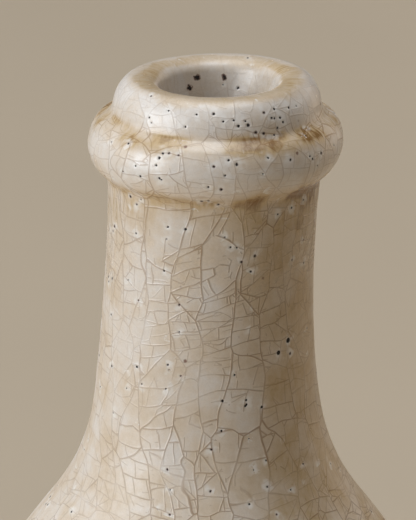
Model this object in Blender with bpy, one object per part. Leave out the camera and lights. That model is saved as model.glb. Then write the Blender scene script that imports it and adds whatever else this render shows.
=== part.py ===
"""Stoneware bottle vase with a double-ringed mouth, thrown in sections that are luted together.

Metres, +Z up, origin at the middle of the foot's resting face. Every section is turned on the
wheel axis, and the neck with its two rings leans a little to +X above the shoulder.
"""
import math

import bmesh
import bpy

# ---- Driving sizes, in metres unless said otherwise ----

SEGMENTS = 48                # facets round each turned section
FIT_GAP = 0.0003             # clearance between sections that touch

FOOT_HEIGHT = 0.0080
FOOT_RADIUS = 0.0405         # outside, at the resting face
FOOT_SPREAD = 0.0020         # how much wider the ring is at its top
FOOT_RING_WIDTH = 0.0075     # outside to bore, at the resting face
FOOT_EDGE_ROUND = 0.0010
FOOT_BOSS_DEPTH = 0.0020     # the body's underside reaches this far down inside the foot ring

WALL = 0.0055                # clay thickness of the body, measured level
FLOOR = 0.0065               # clay thickness under the inside floor
FLOOR_ROUND = 0.0090         # inside corner between floor and wall
BODY_LAP = 0.0060            # height of the tongue where two body sections lap

BASE_STEP = 0.0015           # how far the body stands out over the foot ring
BASE_SLOPE = 0.75            # change of radius per unit of height, here and below
BELLY_RISE = 0.0780          # foot to widest circle
BELLY_RADIUS = 0.0660
SHOULDER_RISE = 0.0610       # widest circle to the steep middle of the shoulder
SHOULDER_RADIUS = 0.0351
SHOULDER_SLOPE = -0.772
NECK_BASE_RISE = 0.0274      # middle of the shoulder to the foot of the neck
NECK_BASE_FLARE = 0.00178    # how much wider the neck is there than at its waist
NECK_BASE_SLOPE = -0.095
NECK_WAIST_RISE = 0.0326     # foot of the neck to its narrowest circle
NECK_RADIUS = 0.02295        # at that circle
NECK_TOP_RISE = 0.0164       # narrowest circle to the underside of the collar
NECK_TOP_FLARE = 0.00035
NECK_TOP_SLOPE = 0.05

COLLAR_HEIGHT = 0.0135
COLLAR_BULGE = 0.0046        # how far the collar stands out from the neck
COLLAR_CREST = 0.0068        # height of its widest circle above its underside
COLLAR_LOWER_ROUND = 1.6     # exponent of its lower curve, where 2 is a true ellipse

LIP_HEIGHT = 0.0081          # groove above the collar to the top of the lip
LIP_SETBACK = 0.0003         # how far the lip's side stands inside the neck's top radius
LIP_CREST_INSET = 0.0050     # from the lip's side in to its highest circle
MOUTH_RADIUS = 0.0126
MOUTH_ROUND_HEIGHT = 0.0040
MOUTH_ROUND = 2.6            # exponent of the curve from the crest down into the mouth
SKIRT_WALL = 0.0031          # the lip ring's skirt, which stands inside the neck's bore
SKIRT_DEPTH = 0.0105

LEAN_ANGLE = math.radians(2.35)
LEAN_BEND = 0.0160           # height over which the neck bends into its lean
LEAN_START_DROP = 0.0021     # how far below the foot of the neck the bend starts

GLAZE_COLOR = (0.617, 0.523, 0.392, 1.0)
CLAY_COLOR = (0.310, 0.180, 0.098, 1.0)

# ---- Heights and radii that follow from them ----

BELLY_HEIGHT = FOOT_HEIGHT + BELLY_RISE
SHOULDER_HEIGHT = BELLY_HEIGHT + SHOULDER_RISE
NECK_BASE_HEIGHT = SHOULDER_HEIGHT + NECK_BASE_RISE
NECK_WAIST_HEIGHT = NECK_BASE_HEIGHT + NECK_WAIST_RISE
NECK_TOP_HEIGHT = NECK_WAIST_HEIGHT + NECK_TOP_RISE
GROOVE_HEIGHT = NECK_TOP_HEIGHT + COLLAR_HEIGHT
VASE_HEIGHT = GROOVE_HEIGHT + LIP_HEIGHT

FOOT_TOP_RADIUS = FOOT_RADIUS + FOOT_SPREAD
FOOT_BORE_RADIUS = FOOT_RADIUS - FOOT_RING_WIDTH
BASE_RADIUS = FOOT_TOP_RADIUS + BASE_STEP
NECK_BASE_RADIUS = NECK_RADIUS + NECK_BASE_FLARE
NECK_TOP_RADIUS = NECK_RADIUS + NECK_TOP_FLARE
LIP_RADIUS = NECK_TOP_RADIUS - LIP_SETBACK
NECK_BORE_RADIUS = MOUTH_RADIUS + SKIRT_WALL + FIT_GAP
SPIGOT_RADIUS = (NECK_BORE_RADIUS + NECK_TOP_RADIUS) / 2   # neck's end, which the collar sits on
BELLY_LAP_RADIUS = BELLY_RADIUS - WALL / 2                 # middle of the wall at each body joint
NECK_LAP_RADIUS = NECK_BASE_RADIUS - WALL / 2

# Height, radius and slope of the outer wall at the circles that shape it, foot to collar
OUTER_STATIONS = (
    (FOOT_HEIGHT, BASE_RADIUS, BASE_SLOPE),
    (BELLY_HEIGHT, BELLY_RADIUS, 0.0),
    (SHOULDER_HEIGHT, SHOULDER_RADIUS, SHOULDER_SLOPE),
    (NECK_BASE_HEIGHT, NECK_BASE_RADIUS, NECK_BASE_SLOPE),
    (NECK_WAIST_HEIGHT, NECK_RADIUS, 0.0),
    (NECK_TOP_HEIGHT, NECK_TOP_RADIUS, NECK_TOP_SLOPE),
)
BORE_STATIONS = (
    (NECK_BASE_HEIGHT, NECK_BASE_RADIUS - WALL, NECK_BASE_SLOPE),
    (NECK_WAIST_HEIGHT, NECK_BORE_RADIUS, 0.0),
    (GROOVE_HEIGHT, NECK_BORE_RADIUS, 0.0),
)


def smooth_radius(stations, height):
    """Radius at a height on the smooth curve through (height, radius, slope) stations."""
    lower, upper = stations[0], stations[1]
    for first, second in zip(stations, stations[1:]):
        if height >= first[0]:
            lower, upper = first, second
    rise = upper[0] - lower[0]
    t = (height - lower[0]) / rise
    return ((2 * t**3 - 3 * t**2 + 1) * lower[1] + (t**3 - 2 * t**2 + t) * rise * lower[2]
            + (3 * t**2 - 2 * t**3) * upper[1] + (t**3 - t**2) * rise * upper[2])


def outer_radius(height):
    return smooth_radius(OUTER_STATIONS, height)


def inner_radius(height):
    if height < NECK_BASE_HEIGHT:
        return outer_radius(height) - WALL
    return smooth_radius(BORE_STATIONS, height)


def lean_offset(height):
    """How far the axis has moved to +X at a height: straight, a smooth bend, then a steady lean."""
    start = NECK_BASE_HEIGHT - LEAN_START_DROP
    t = (height - start) / LEAN_BEND
    if t <= 0:
        return 0.0
    bend = min(t, 1.0)
    steady = max(height - start - LEAN_BEND, 0.0)
    return LEAN_ANGLE * (LEAN_BEND * (bend**3 - bend**4 / 2) + steady)


def wall_points(radius_at, start, end, count):
    """Outline points up or down a wall, from one height to another, both ends included."""
    heights = [start + (end - start) * i / (count - 1) for i in range(count)]
    return [(radius_at(height), height) for height in heights]


def round_points(center, reach, exponent, start_deg, end_deg, count):
    """Outline points on part of a superellipse; 0 degrees is outward and 90 is up."""
    points = []
    for i in range(count):
        angle = math.radians(start_deg + (end_deg - start_deg) * i / (count - 1))
        across, up = math.cos(angle), math.sin(angle)
        points.append((
            center[0] + reach[0] * math.copysign(abs(across) ** (2 / exponent), across),
            center[1] + reach[1] * math.copysign(abs(up) ** (2 / exponent), up),
        ))
    return points


# ---- Outlines, each with the clay on its left, so up the outside and down the inside ----

def foot_ring_outline():
    edge = FOOT_EDGE_ROUND
    bore_chamfer = edge * 1.5
    top = FOOT_HEIGHT
    outline = [(FOOT_BORE_RADIUS + bore_chamfer, 0.0)]
    outline += round_points((FOOT_RADIUS - edge, edge), (edge, edge), 2, -90, 0, 3)
    outline += [(FOOT_TOP_RADIUS, top), (FOOT_BORE_RADIUS, top)]
    outline += [(FOOT_BORE_RADIUS, bore_chamfer)]
    return outline


def lower_body_outline():
    seat = FOOT_HEIGHT + FIT_GAP
    boss_radius = FOOT_BORE_RADIUS - FIT_GAP
    boss_bottom = seat - FOOT_BOSS_DEPTH
    floor = FOOT_HEIGHT + FLOOR
    tongue_top = BELLY_HEIGHT + BODY_LAP
    tongue_radius = BELLY_LAP_RADIUS - FIT_GAP
    corner_radius = inner_radius(floor + FLOOR_ROUND)
    corner_center = (corner_radius - FLOOR_ROUND, floor + FLOOR_ROUND)
    outline = [(0.0, boss_bottom), (boss_radius, boss_bottom), (boss_radius, seat)]
    outline += wall_points(outer_radius, seat, BELLY_HEIGHT, 11)
    outline += [(tongue_radius, BELLY_HEIGHT), (tongue_radius, tongue_top)]
    outline += wall_points(inner_radius, tongue_top, floor + FLOOR_ROUND, 9)
    outline += round_points(corner_center, (FLOOR_ROUND, FLOOR_ROUND), 2, 0, -90, 4)[1:]
    outline += [(0.0, floor)]
    return outline


def upper_body_outline():
    seam = BELLY_HEIGHT + FIT_GAP
    tongue_top = NECK_BASE_HEIGHT + BODY_LAP
    tongue_radius = NECK_LAP_RADIUS - FIT_GAP
    lap_top = BELLY_HEIGHT + BODY_LAP + FIT_GAP
    outline = [(BELLY_LAP_RADIUS, seam)]
    outline += wall_points(outer_radius, seam, NECK_BASE_HEIGHT, 16)
    outline += [(tongue_radius, NECK_BASE_HEIGHT), (tongue_radius, tongue_top)]
    outline += wall_points(inner_radius, tongue_top, NECK_BASE_HEIGHT, 3)
    outline += wall_points(inner_radius, NECK_BASE_HEIGHT, lap_top, 14)[1:]
    outline += [(BELLY_LAP_RADIUS, lap_top)]
    return outline


def neck_outline():
    seam = NECK_BASE_HEIGHT + FIT_GAP
    lap_top = NECK_BASE_HEIGHT + BODY_LAP + FIT_GAP
    spigot_top = GROOVE_HEIGHT - FIT_GAP
    outline = [(NECK_LAP_RADIUS, seam)]
    outline += wall_points(outer_radius, seam, NECK_TOP_HEIGHT, 9)
    outline += [(SPIGOT_RADIUS, NECK_TOP_HEIGHT), (SPIGOT_RADIUS, spigot_top)]
    outline += [(NECK_BORE_RADIUS, spigot_top)]
    outline += wall_points(inner_radius, NECK_WAIST_HEIGHT, lap_top, 5)
    outline += [(NECK_LAP_RADIUS, lap_top)]
    return outline


def collar_ring_outline():
    underside = NECK_TOP_HEIGHT + FIT_GAP
    top = GROOVE_HEIGHT - FIT_GAP
    bore = SPIGOT_RADIUS + FIT_GAP
    crest = NECK_TOP_HEIGHT + COLLAR_CREST
    center = (NECK_TOP_RADIUS, crest)
    outline = [(bore, underside)]
    outline += round_points(center, (COLLAR_BULGE, crest - underside), COLLAR_LOWER_ROUND, -90, 0, 7)
    outline += round_points(center, (COLLAR_BULGE, top - crest), 2, 0, 90, 7)[1:]
    outline += [(bore, top)]
    return outline


def lip_ring_outline():
    skirt_radius = NECK_BORE_RADIUS - FIT_GAP
    skirt_bottom = GROOVE_HEIGHT - SKIRT_DEPTH
    crest_radius = LIP_RADIUS - LIP_CREST_INSET
    mouth_center = (crest_radius, VASE_HEIGHT - MOUTH_ROUND_HEIGHT)
    mouth_reach = (crest_radius - MOUTH_RADIUS, MOUTH_ROUND_HEIGHT)
    outline = [(MOUTH_RADIUS, skirt_bottom), (skirt_radius, skirt_bottom), (skirt_radius, GROOVE_HEIGHT)]
    outline += round_points((crest_radius, GROOVE_HEIGHT), (LIP_CREST_INSET, LIP_HEIGHT), 2, 0, 90, 8)
    outline += round_points(mouth_center, mouth_reach, MOUTH_ROUND, 90, 180, 8)[1:]
    return outline


# ---- Objects ----

def fired_material(name, color, roughness):
    material = bpy.data.materials.new(name)
    material.use_nodes = True
    shader = material.node_tree.nodes["Principled BSDF"]
    shader.inputs["Base Color"].default_value = color
    shader.inputs["Roughness"].default_value = roughness
    shader.inputs["Metallic"].default_value = 0.0
    material.diffuse_color = color
    return material


def turned_section(name, outline, material, parent):
    """Turn an outline round the wheel axis, set it over to the lean, and stand it at its height."""
    weld = 1e-6
    base = min(height for radius, height in outline)
    base_offset = lean_offset(base)
    bm = bmesh.new()
    verts = [bm.verts.new((radius, 0.0, height - base)) for radius, height in outline]
    edges = [bm.edges.new(pair) for pair in zip(verts, verts[1:])]
    if outline[0][0] > weld:
        edges.append(bm.edges.new((verts[-1], verts[0])))
    bmesh.ops.spin(bm, geom=verts + edges, cent=(0, 0, 0), axis=(0, 0, 1), dvec=(0, 0, 0),
                   angle=math.tau, steps=SEGMENTS, use_merge=True)
    bmesh.ops.remove_doubles(bm, verts=bm.verts, dist=weld)
    for vert in bm.verts:
        vert.co.x += lean_offset(vert.co.z + base) - base_offset
    bmesh.ops.recalc_face_normals(bm, faces=bm.faces)
    mesh = bpy.data.meshes.new(name)
    bm.to_mesh(mesh)
    bm.free()
    mesh.shade_smooth()
    mesh.set_sharp_from_angle(angle=math.radians(40))
    mesh.materials.append(material)
    section = bpy.data.objects.new(name, mesh)
    section.location = (base_offset, 0.0, base)
    section.parent = parent
    bpy.context.scene.collection.objects.link(section)
    return section


def build_vase():
    for leftover in list(bpy.data.objects):
        bpy.data.objects.remove(leftover)
    vase = bpy.data.objects.new("vase", None)
    bpy.context.scene.collection.objects.link(vase)
    sections = (
        ("foot_ring", foot_ring_outline, CLAY_COLOR, 0.85),
        ("lower_body", lower_body_outline, GLAZE_COLOR, 0.15),
        ("upper_body", upper_body_outline, GLAZE_COLOR, 0.15),
        ("neck", neck_outline, GLAZE_COLOR, 0.15),
        ("collar_ring", collar_ring_outline, GLAZE_COLOR, 0.15),
        ("lip_ring", lip_ring_outline, GLAZE_COLOR, 0.15),
    )
    for name, outline, color, roughness in sections:
        material = fired_material(name + "_finish", color, roughness)
        turned_section(name, outline(), material, vase)


build_vase()
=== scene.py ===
import math
import random

import bpy
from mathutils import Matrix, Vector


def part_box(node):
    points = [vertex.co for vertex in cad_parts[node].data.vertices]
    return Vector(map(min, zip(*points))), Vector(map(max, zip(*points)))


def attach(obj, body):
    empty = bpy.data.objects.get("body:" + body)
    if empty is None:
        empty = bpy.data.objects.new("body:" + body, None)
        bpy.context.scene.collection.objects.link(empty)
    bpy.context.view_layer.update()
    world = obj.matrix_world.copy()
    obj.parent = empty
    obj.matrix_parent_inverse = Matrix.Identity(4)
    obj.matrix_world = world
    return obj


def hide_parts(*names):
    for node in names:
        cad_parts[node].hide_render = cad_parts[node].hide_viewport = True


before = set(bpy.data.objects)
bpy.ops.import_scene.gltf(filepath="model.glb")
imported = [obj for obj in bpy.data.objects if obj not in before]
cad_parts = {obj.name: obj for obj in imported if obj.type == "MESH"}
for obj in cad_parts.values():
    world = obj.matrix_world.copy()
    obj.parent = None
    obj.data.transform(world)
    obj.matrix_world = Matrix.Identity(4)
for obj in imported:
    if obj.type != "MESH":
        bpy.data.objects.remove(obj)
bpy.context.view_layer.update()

# A thrown stoneware bottle vase: rolled lip, round collar, slim leaning neck and pear-shaped
# body under a glossy cream crackle glaze, on a bare clay foot. Lengths are in metres unless a
# name says mm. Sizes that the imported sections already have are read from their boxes.

print("stage: camera")

view = {
    "lens": 346.0,                      # mm, on a 36 mm sensor
    "distance": 1.10,                   # from the point it looks at
    "elevation": math.radians(18),
    "lookAt": (0.00044, 0.0, 0.2028),   # middle of the neck
}


def setCamera():
    eye = bpy.data.cameras.new("camera")
    eye.lens = view["lens"]
    eye.sensor_width = 36.0
    eye.clip_end = 60.0
    camera = bpy.data.objects.new("camera", eye)
    bpy.context.scene.collection.objects.link(camera)
    x, y, z = view["lookAt"]
    camera.location = (
        x,
        y - view["distance"] * math.cos(view["elevation"]),
        z + view["distance"] * math.sin(view["elevation"]),
    )
    camera.rotation_euler = (math.pi / 2 - view["elevation"], 0, 0)
    bpy.context.scene.camera = camera


setCamera()

# sizes shared by the thrown sections
lipLow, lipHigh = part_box("lip_ring")
collarLow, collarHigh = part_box("collar_ring")
neckLow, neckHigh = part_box("neck")
upperLow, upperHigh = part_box("upper_body")
lowerLow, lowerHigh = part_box("lower_body")
footLow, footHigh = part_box("foot_ring")

throwing = {
    "facets": 240,                      # round every section, so that their edges meet
    "slipGap": 0.0003,                  # between packed sections; the glaze runs over it here
    "fineStep": 0.00034,                # between rings on the lip and collar
    "wideStep": 0.0010,                 # between rings elsewhere outside
    "innerStep": 0.0020,                # inside the body
    "boreStep": 0.0030,                 # inside the neck
    "drawnStep": 0.0002,                # between points that are spaced evenly afterwards
    "drawnPoints": 60,                  # round each roll, likewise
    "underCollar": 0.0040,              # top of the neck, ringed as finely as the collar
    "mergeWithin": 0.000004,
    "wall": 0.0055,
    "lap": 0.0060,                      # tongue height where two body sections lap
    "leanAngle": math.radians(2.35),    # of the neck, to +X
    "leanBend": 0.0160,                 # height over which it bends into the lean
    "leanStartDrop": 0.0021,            # below the foot of the neck
}

gap = throwing["slipGap"]
vaseTop = lipHigh.z
grooveHeight = collarHigh.z + gap       # between lip and collar
creaseHeight = collarLow.z - gap        # between collar and neck
neckFoot = neckLow.z - gap
bellyHeight = upperLow.z - gap
footHeight = footHigh.z


def halfDepth(low, high):
    return (high.y - low.y) / 2         # the lean is to +X, so Y keeps the true radius


neck = {
    "waistRise": 0.0326,                # foot of the neck to its narrowest circle
    "waistRadius": 0.02295,
    "topFlare": 0.00035,
    "topSlope": 0.05,
    "footSlope": -0.095,
    "boreRadius": 0.0160,
}
body = {
    "shoulderRise": 0.0610,             # belly to the steep middle of the shoulder
    "shoulderRadius": 0.0351,
    "shoulderSlope": -0.772,
    "baseStep": 0.0015,                 # stands out over the foot ring
    "baseSlope": 0.75,
    "floor": 0.0065,
    "floorRound": 0.0090,
    "floorPoints": 10,                  # round that corner
    "baseRound": 0.0008,
    "baseWallStep": 0.0006,
    "bossDepth": 0.0020,
    "bossChamfer": 0.0006,
    "bareBand": 0.0042,                 # clay left bare above the foot ring
    "glazeRoll": 0.00045,               # how far the glaze stands out where it stops
    "rollHeight": 1.6,                  # times how far it stands out
    "rollRings": 8,
    "rollFade": 0.0080,                 # height over which it dies away
    "fadeStep": 0.0005,
}
collar = {
    "crestRise": 0.0068,                # crease to its widest circle
    "lowerRound": 1.6,                  # 2 is a true ellipse
    "grooveFillet": 0.0022,             # reach of the soft glaze in groove and crease
    "filletPasses": 14,                 # more of them fill it deeper
}
lip = {
    "crestInset": 0.0050,               # side to highest circle
    "mouthRadius": 0.0126,
    "mouthRound": 2.6,                  # squarer than an ellipse
    "mouthRoundHeight": 0.0040,
    "mouthRoundEnd": 162,               # degrees round, where the rolled edge meets the throat
    "throatSlope": math.radians(16),    # narrowing
    "throatDepth": 0.0062,              # to its narrowest circle, and the same again below it
    "skirtDepth": 0.0105,
    "skirtWall": 0.0031,
}
foot = {
    "width": 0.0075,
    "spread": 0.0020,
    "edgeRound": 0.0011,
    "boreRound": 1.5,                   # times the outer one
    "boreRise": 0.6,                    # of its height, one ring up the bore
    "edgePoints": 8,
    "lift": 0.0003,                     # keeps the wandering base off the floor
}

neckFootRadius = halfDepth(neckLow, neckHigh)
neckTopRadius = neck["waistRadius"] + neck["topFlare"]
spigotRadius = (neck["boreRadius"] + neckTopRadius) / 2
bellyRadius = halfDepth(lowerLow, lowerHigh)
footTopRadius = halfDepth(footLow, footHigh)
bellyLap = bellyRadius - throwing["wall"] / 2
neckLap = neckFootRadius - throwing["wall"] / 2

# height, radius and slope of the outer wall at the circles that shape it
outerStations = (
    (footHeight, footTopRadius + body["baseStep"], body["baseSlope"]),
    (bellyHeight, bellyRadius, 0.0),
    (bellyHeight + body["shoulderRise"], body["shoulderRadius"], body["shoulderSlope"]),
    (neckFoot, neckFootRadius, neck["footSlope"]),
    (neckFoot + neck["waistRise"], neck["waistRadius"], 0.0),
    (creaseHeight, neckTopRadius, neck["topSlope"]),
)
boreStations = (
    (neckFoot, neckFootRadius - throwing["wall"], neck["footSlope"]),
    (neckFoot + neck["waistRise"], neck["boreRadius"], 0.0),
    (grooveHeight, neck["boreRadius"], 0.0),
)


def curveRadius(stations, height):
    below, above = stations[0], stations[1]
    for first, second in zip(stations, stations[1:]):
        if height >= first[0]:
            below, above = first, second
    rise = above[0] - below[0]
    t = (height - below[0]) / rise
    fromBelow = (2 * t**3 - 3 * t**2 + 1) * below[1] + (t**3 - 2 * t**2 + t) * rise * below[2]
    fromAbove = (3 * t**2 - 2 * t**3) * above[1] + (t**3 - t**2) * rise * above[2]
    return fromBelow + fromAbove


def outerRadius(height):
    return curveRadius(outerStations, height)


def innerRadius(height):
    if height < neckFoot:
        return outerRadius(height) - throwing["wall"]
    return curveRadius(boreStations, height)


def leanAt(height):
    start = neckFoot - throwing["leanStartDrop"]
    t = (height - start) / throwing["leanBend"]
    if t <= 0:
        return 0.0
    bend = min(t, 1.0)
    steady = max(height - start - throwing["leanBend"], 0.0)
    return throwing["leanAngle"] * (throwing["leanBend"] * (bend**3 - bend**4 / 2) + steady)


def wallRings(radiusAt, start, end, step):
    count = max(1, round(abs(end - start) / step))
    heights = [start + (end - start) * i / count for i in range(count + 1)]
    return [(radiusAt(height), height) for height in heights]


def roundRings(center, reach, exponent, startDeg, endDeg, count):
    rings = []
    for i in range(count + 1):
        angle = math.radians(startDeg + (endDeg - startDeg) * i / count)
        across, up = math.cos(angle), math.sin(angle)
        rings.append((
            center[0] + reach[0] * math.copysign(abs(across) ** (2 / exponent), across),
            center[1] + reach[1] * math.copysign(abs(up) ** (2 / exponent), up),
        ))
    return rings


def evenRings(rings, step):
    # the same line with its points an even distance apart
    spaced = [rings[0]]
    left = step
    for (r0, z0), (r1, z1) in zip(rings, rings[1:]):
        length = math.hypot(r1 - r0, z1 - z0)
        done = 0.0
        while length - done >= left:
            done += left
            spaced.append((r0 + (r1 - r0) * done / length, z0 + (z1 - z0) * done / length))
            left = step
        left -= length - done
    spaced[-1] = rings[-1]
    return spaced


def softened(rings, hollows, reach, passes):
    # glaze fills the hollows: points near them move towards their neighbours' middle
    for _ in range(passes):
        moved = list(rings)
        for i in range(1, len(rings) - 1):
            near = max(math.exp(-(math.dist(rings[i], hollow) / reach) ** 2) for hollow in hollows)
            middleR = (rings[i - 1][0] + rings[i + 1][0]) / 2
            middleZ = (rings[i - 1][1] + rings[i + 1][1]) / 2
            moved[i] = (
                rings[i][0] + (middleR - rings[i][0]) * near,
                rings[i][1] + (middleZ - rings[i][1]) * near,
            )
        rings = moved
    return rings


def mouthWall():
    # outside of the collar and lip, over the crest and down the mouth
    collarRadius = halfDepth(collarLow, collarHigh)
    lipRadius = halfDepth(lipLow, lipHigh)
    crest = creaseHeight + collar["crestRise"]
    bulge = (neckTopRadius, crest)
    bulgeReach = collarRadius - neckTopRadius
    lipCrest = lipRadius - lip["crestInset"]
    rings = wallRings(
        outerRadius, creaseHeight - throwing["underCollar"], creaseHeight, throwing["drawnStep"]
    )
    points = throwing["drawnPoints"]
    rings += roundRings(bulge, (bulgeReach, collar["crestRise"]), collar["lowerRound"], -90, 0, points)
    rings += roundRings(bulge, (bulgeReach, grooveHeight - crest), 2, 0, 90, points)
    rings += roundRings(
        (lipCrest, grooveHeight), (lip["crestInset"], vaseTop - grooveHeight), 2, 0, 90, points
    )
    rings += roundRings(
        (lipCrest, vaseTop - lip["mouthRoundHeight"]),
        (lipCrest - lip["mouthRadius"], lip["mouthRoundHeight"]),
        lip["mouthRound"], 90, lip["mouthRoundEnd"], points,
    )
    # the rolled edge narrows into the throat, which then opens to the bore
    radius, height = rings[-1]
    slope = math.tan(lip["throatSlope"])
    for t in (0.25, 0.5, 0.75, 1.0):
        rings.append((radius - slope * lip["throatDepth"] * t, height - lip["throatDepth"] * t))
    radius, height = rings[-1]
    throatEnd = height - lip["throatDepth"]
    for t in (0.1, 0.25, 0.5, 0.75, 0.9, 1.0):
        ease = t * t * (3 - 2 * t)
        rings.append((radius + (lip["mouthRadius"] - radius) * ease, height + (throatEnd - height) * t))
    rings += [(lip["mouthRadius"], grooveHeight - lip["skirtDepth"])]
    rings = evenRings(rings, throwing["fineStep"])
    hollows = ((neckTopRadius, grooveHeight), (neckTopRadius, creaseHeight))
    return softened(rings, hollows, collar["grooveFillet"], collar["filletPasses"])


def nearestRing(rings, radius, height):
    return min(range(len(rings)), key=lambda i: math.dist(rings[i], (radius, height)))


mouthRings = mouthWall()
creaseIndex = nearestRing(mouthRings, neckTopRadius, creaseHeight)
grooveIndex = nearestRing(mouthRings, neckTopRadius, grooveHeight)
creaseRing = mouthRings[creaseIndex]
grooveRing = mouthRings[grooveIndex]


def turnSection(name, rings, closed):
    # a circle drawn out ring by ring, as a wall is raised on the wheel
    bpy.ops.object.select_all(action="DESELECT")
    radius, height = rings[0]
    bpy.ops.mesh.primitive_circle_add(
        vertices=throwing["facets"], radius=radius, location=(leanAt(height), 0, height)
    )
    section = bpy.context.object
    section.name = name
    section.data.name = name
    bpy.ops.object.transform_apply(location=True, rotation=False, scale=False)
    bpy.ops.object.mode_set(mode="EDIT")
    bpy.ops.mesh.select_all(action="SELECT")
    if closed:
        rings = rings + [rings[0]]
    for (lastRadius, lastHeight), (radius, height) in zip(rings, rings[1:]):
        rise = (leanAt(height) - leanAt(lastHeight), 0, height - lastHeight)
        bpy.ops.mesh.extrude_region_move(TRANSFORM_OT_translate={"value": rise})
        grow = radius / lastRadius
        bpy.ops.transform.resize(value=(grow, grow, 1), center_override=(leanAt(height), 0, height))
    if not closed:
        bpy.ops.mesh.merge(type="CENTER")
        bpy.ops.mesh.select_all(action="DESELECT")
        bpy.ops.mesh.select_non_manifold(extend=False, use_wire=False, use_multi_face=False,
                                         use_non_contiguous=False, use_verts=False)
        bpy.ops.mesh.merge(type="CENTER")
    bpy.ops.mesh.select_all(action="SELECT")
    bpy.ops.mesh.remove_doubles(threshold=throwing["mergeWithin"])
    bpy.ops.mesh.normals_make_consistent(inside=False)
    bpy.ops.object.mode_set(mode="OBJECT")
    return section


def lipSection():
    skirtRadius = lip["mouthRadius"] + lip["skirtWall"]
    skirtBottom = mouthRings[-1][1]
    rings = mouthRings[grooveIndex:]
    rings = rings + [(skirtRadius, skirtBottom), (skirtRadius, grooveRing[1])]
    return turnSection("lipRing", rings, True)


def collarSection():
    bore = spigotRadius + gap
    rings = mouthRings[creaseIndex:grooveIndex + 1]
    rings = rings + [(bore, grooveRing[1]), (bore, creaseRing[1])]
    return turnSection("collarRing", rings, True)


def neckSection():
    spigotTop = grooveHeight - gap
    lapTop = neckFoot + throwing["lap"] + gap
    rings = wallRings(outerRadius, neckFoot, mouthRings[0][1], throwing["wideStep"])[:-1]
    rings += mouthRings[:creaseIndex + 1]
    rings += [(spigotRadius, creaseRing[1]), (spigotRadius, spigotTop)]
    rings += [(neck["boreRadius"], spigotTop)]
    rings += wallRings(innerRadius, neckFoot + neck["waistRise"], lapTop, throwing["boreStep"])
    rings += [(neckLap, lapTop), (neckLap, neckFoot)]
    return turnSection("neckWall", rings, True)


def upperSection():
    lapTop = bellyHeight + throwing["lap"] + gap
    tongueTop = neckFoot + throwing["lap"]
    rings = wallRings(outerRadius, bellyHeight, neckFoot, throwing["wideStep"])
    rings += [(neckLap - gap, neckFoot), (neckLap - gap, tongueTop)]
    rings += wallRings(innerRadius, tongueTop, lapTop, throwing["innerStep"])
    rings += [(bellyLap, lapTop), (bellyLap, bellyHeight)]
    return turnSection("upperBody", rings, True)


def lowerSection():
    seat = footHeight + gap
    floor = footHeight + body["floor"]
    bossRadius = footTopRadius - foot["spread"] - foot["width"] - gap
    bossBottom = seat - body["bossDepth"]
    glazeLine = footHeight + body["bareBand"]
    roll = body["glazeRoll"]
    baseRound = body["baseRound"]
    fade = body["rollFade"]
    cornerTop = floor + body["floorRound"]
    cornerCenter = (innerRadius(cornerTop) - body["floorRound"], cornerTop)
    flat = [(bossRadius * t, bossBottom) for t in (0.02, 0.25, 0.5, 0.75, 0.98)]
    rings = flat + [(bossRadius, bossBottom + body["bossChamfer"]), (bossRadius, seat)]
    rings += [(outerRadius(seat) - baseRound, seat)]
    rings += [(outerRadius(seat) - baseRound * 0.3, seat + baseRound * 0.3)]
    rings += wallRings(outerRadius, seat + baseRound, glazeLine, body["baseWallStep"])
    for i in range(1, body["rollRings"] + 1):
        turn = math.pi / 2 * i / body["rollRings"]
        height = glazeLine + roll * body["rollHeight"] * (1 - math.cos(turn))
        rings.append((outerRadius(height) + roll * math.sin(turn), height))
    top = rings[-1][1]
    for i in range(1, round(fade / body["fadeStep"]) + 1):
        height = top + body["fadeStep"] * i
        thinning = math.cos(math.pi / 2 * (height - top) / fade) ** 2
        rings.append((outerRadius(height) + roll * thinning, height))
    rings += wallRings(
        outerRadius, top + fade + throwing["wideStep"], bellyHeight, throwing["wideStep"]
    )
    rings += [(bellyLap - gap, bellyHeight), (bellyLap - gap, bellyHeight + throwing["lap"])]
    rings += wallRings(innerRadius, bellyHeight + throwing["lap"], cornerTop, throwing["innerStep"])
    corner = (body["floorRound"], body["floorRound"])
    rings += roundRings(cornerCenter, corner, 2, 0, -90, body["floorPoints"])[1:]
    rings += [(cornerCenter[0] * t, floor) for t in (0.75, 0.5, 0.25, 0.02)]
    return turnSection("lowerBody", rings, False)


def footSection():
    edge = foot["edgeRound"]
    base = footTopRadius - foot["spread"]
    bore = base - foot["width"]
    lift = foot["lift"]
    rings = roundRings((base - edge, edge + lift), (edge, edge), 2, -90, 0, foot["edgePoints"])
    rings += [(base + foot["spread"] * t, edge + (footHeight - edge) * t) for t in (0.3, 0.6, 1.0)]
    rings += [(bore, footHeight), (bore, footHeight * foot["boreRise"])]
    reach = edge * foot["boreRound"]
    center = (bore + reach, reach + lift)
    rings += roundRings(center, (reach, reach), 2, 180, 270, foot["edgePoints"])
    return turnSection("footRing", rings, True)


handMade = {
    "swayWidth": 0.045,                 # the slow wander of a thrown wall
    "sway": 0.0011,                     # end to end
    "dimpleWidth": 0.007,               # finger marks and runs in the glaze
    "dimple": 0.00016,
    "smoothAngle": math.radians(40),
}


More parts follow.
